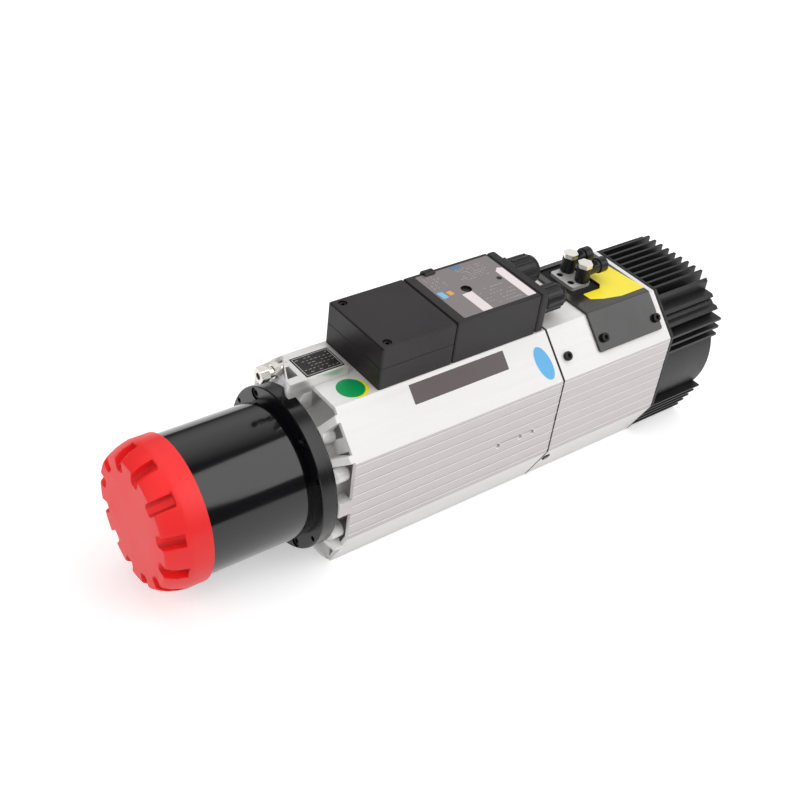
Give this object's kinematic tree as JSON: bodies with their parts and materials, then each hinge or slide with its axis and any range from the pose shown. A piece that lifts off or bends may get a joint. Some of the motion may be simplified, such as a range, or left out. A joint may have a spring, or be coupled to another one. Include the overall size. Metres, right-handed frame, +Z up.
{
  "type": "motor spindle",
  "caption": "Air-cooled motor spindle with tool changer: round flanged nose under a push-on cap, eight-sided ribbed body, terminal box, air elbows and a finned fan cover.",
  "frame": {"origin": "centre of the mounting flange's front face, on the spin axis", "axes": "+X along the spin axis to the fan end, the tool end points to -X, +Z up through the terminal box, and the body stands on its flat base at z = -0.077 m"},
  "size_m": [0.592, 0.147, 0.2025],
  "materials": {
    "body_aluminium": "satin",
    "black_anodised": "gloss",
    "red_plastic": "satin",
    "black_plastic": "satin",
    "black_cast": "matte",
    "grey_plate": "satin",
    "bright_steel": "ground",
    "black_steel": "black oxide",
    "bearing_steel": "polished",
    "brass_cage": "machined",
    "copper_winding": "varnished",
    "core_steel": "laminated",
    "nickel": "nickel plated",
    "rubber": "matte",
    "cast_aluminium": "as cast",
    "spring_steel": "oiled"
  },
  "bodies": {
    "body": {"banjo_bolts": "nickel", "bearing_outer_rings": "bearing_steel", "bearing_spacer": "bright_steel", "connector_block": "black_plastic", "cover_plate": "grey_plate", "cover_ring_screws": "black_steel", "cover_screws": "black_steel", "cylinder_barrel": "cast_aluminium", "cylinder_cap": "cast_aluminium", "end_cover": "black_plastic", "fan_grille": "black_steel", "fan_motor": "black_plastic", "finned_cover": "black_cast", "flange_screws": "black_steel", "front_cover_ring": "black_steel", "gland_bodies": "black_plastic", "gland_nuts": "black_plastic", "housing_gasket": "rubber", "lid_screws": "black_steel", "low_screws": "black_steel", "main_housing": "body_aluminium", "manifold_pad": "rubber", "manifold_plate": "cast_aluminium", "mounting_flange": "black_anodised", "nameplate": "black_plastic", "nameplate_block": "cast_aluminium", "nose_sleeve": "black_anodised", "position_sensors": "black_plastic", "purge_fitting": "nickel", "rear_bearing_plate": "cast_aluminium", "rear_gasket": "rubber", "rear_housing": "body_aluminium", "side_plugs": "black_plastic", "stator_core": "core_steel", "stator_windings": "copper_winding", "terminal_block": "black_plastic", "terminal_box": "black_plastic", "terminal_lid": "black_plastic", "tie_rods": "black_steel"},
    "cap": {"protective_cap": "red_plastic"},
    "shaft": {"spindle_shaft": "bright_steel", "rotor_core": "core_steel", "shaft_locknuts": "black_steel", "shaft_spacer": "bright_steel", "bearing_inner_rings": "bearing_steel", "sensor_ring": "bright_steel", "disc_springs": "spring_steel"},
    "ball_sets": {"bearing_cages": "brass_cage", "bearing_balls": "bearing_steel"},
    "drawbar": {"drawbar": "bright_steel", "spring_nut": "black_steel"},
    "piston": {"piston": "cast_aluminium", "piston_seals": "rubber"},
    "fan": {"fan_impeller": "black_plastic"},
    "elbow_1": {"elbow_1": "black_plastic"},
    "elbow_2": {"elbow_2": "black_plastic"},
    "finger_1": {"gripper_finger_1": "bright_steel"},
    "finger_2": {"gripper_finger_2": "bright_steel"},
    "finger_3": {"gripper_finger_3": "bright_steel"},
    "finger_4": {"gripper_finger_4": "bright_steel"}
  },
  "joints": [
    {"name": "cap_pull", "type": "slide", "parent": "body", "child": "cap", "axis": [-1, 0, 0], "range_m": [0, 0.06]},
    {"name": "shaft_spin", "type": "hinge", "parent": "body", "child": "shaft", "pos_m": [0, 0, 0], "axis": [1, 0, 0], "continuous": true},
    {"name": "ball_set_spin", "type": "hinge", "parent": "body", "child": "ball_sets", "pos_m": [0, 0, 0], "axis": [1, 0, 0], "continuous": true},
    {"name": "piston_slide", "type": "slide", "parent": "body", "child": "piston", "axis": [-1, 0, 0], "range_m": [0, 0.008], "stiffness_N_per_m": 4000, "springref_m": -0.002},
    {"name": "drawbar_slide", "type": "slide", "parent": "shaft", "child": "drawbar", "axis": [-1, 0, 0], "range_m": [0, 0.008], "deforming": ["disc_springs"]},
    {"name": "fan_spin", "type": "hinge", "parent": "body", "child": "fan", "pos_m": [0, 0, 0], "axis": [1, 0, 0], "continuous": true},
    {"name": "elbow_1_turn", "type": "hinge", "parent": "body", "child": "elbow_1", "pos_m": [0.331, 0.0204, 0.0989], "axis": [0, 0, 1], "range_deg": [-10, 100]},
    {"name": "elbow_2_turn", "type": "hinge", "parent": "body", "child": "elbow_2", "pos_m": [0.331, 0.0006, 0.0989], "axis": [0, 0, 1], "range_deg": [-100, 10]},
    {"name": "finger_1_open", "type": "hinge", "parent": "drawbar", "child": "finger_1", "pos_m": [-0.031, 0.0056, 0], "axis": [0, 0, -1], "range_deg": [0, 6]},
    {"name": "finger_2_open", "type": "hinge", "parent": "drawbar", "child": "finger_2", "pos_m": [-0.031, 0, 0.0056], "axis": [0, 1, 0], "range_deg": [0, 6]},
    {"name": "finger_3_open", "type": "hinge", "parent": "drawbar", "child": "finger_3", "pos_m": [-0.031, -0.0056, 0], "axis": [0, 0, 1], "range_deg": [0, 6]},
    {"name": "finger_4_open", "type": "hinge", "parent": "drawbar", "child": "finger_4", "pos_m": [-0.031, 0, -0.0056], "axis": [0, -1, 0], "range_deg": [0, 6]}
  ],
  "couplings": [
    {"joint": "ball_set_spin", "follows": "shaft_spin", "ratio": 0.425},
    {"joint": "drawbar_slide", "follows": "piston_slide", "ratio": 1},
    {"joint": "finger_1_open", "follows": "piston_slide", "rad_per_m": 13.089},
    {"joint": "finger_2_open", "follows": "piston_slide", "rad_per_m": 13.089},
    {"joint": "finger_3_open", "follows": "piston_slide", "rad_per_m": 13.089},
    {"joint": "finger_4_open", "follows": "piston_slide", "rad_per_m": 13.089}
  ]
}
